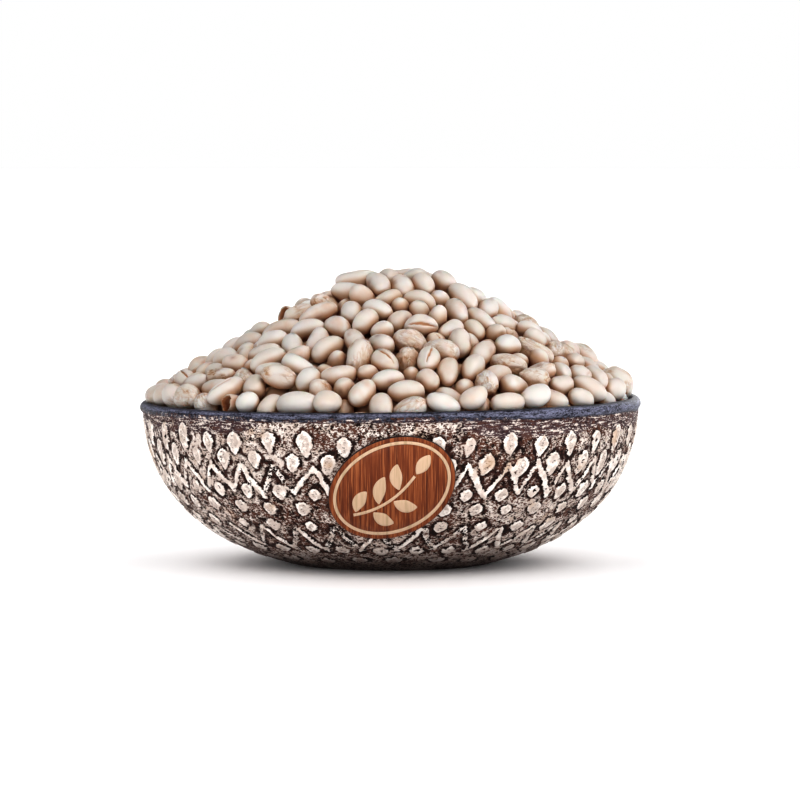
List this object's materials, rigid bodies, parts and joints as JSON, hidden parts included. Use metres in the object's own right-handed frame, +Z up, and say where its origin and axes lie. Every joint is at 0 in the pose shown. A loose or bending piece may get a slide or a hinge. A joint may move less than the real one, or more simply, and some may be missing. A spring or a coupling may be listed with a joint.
{
  "type": "bowl of roasted soybeans",
  "caption": "Round stoneware bowl with a stamped relief wall and an oval wooden badge, heaped above its rim with cream roasted soybeans.",
  "frame": {"origin": "centre of the bowl's flat foot, on the surface it stands on", "axes": "+Z up through the bowl and the heap, -Y towards the side with the wooden badge, +X to the right when the badge is looked at"},
  "size_m": [0.1678, 0.1684, 0.0989],
  "materials": {
    "stoneware": "satin",
    "beans": "satin",
    "badge_wood": "satin",
    "inlay": "satin"
  },
  "bodies": {
    "root": {"bowl": "stoneware", "soybeans": "beans", "badge": "badge_wood", "badge_ring": "inlay", "sprig_stem": "inlay", "sprig_leaf_1": "inlay", "sprig_leaf_2": "inlay", "sprig_leaf_3": "inlay", "sprig_leaf_4": "inlay", "sprig_leaf_5": "inlay", "sprig_leaf_end": "inlay"}
  },
  "joints": []
}
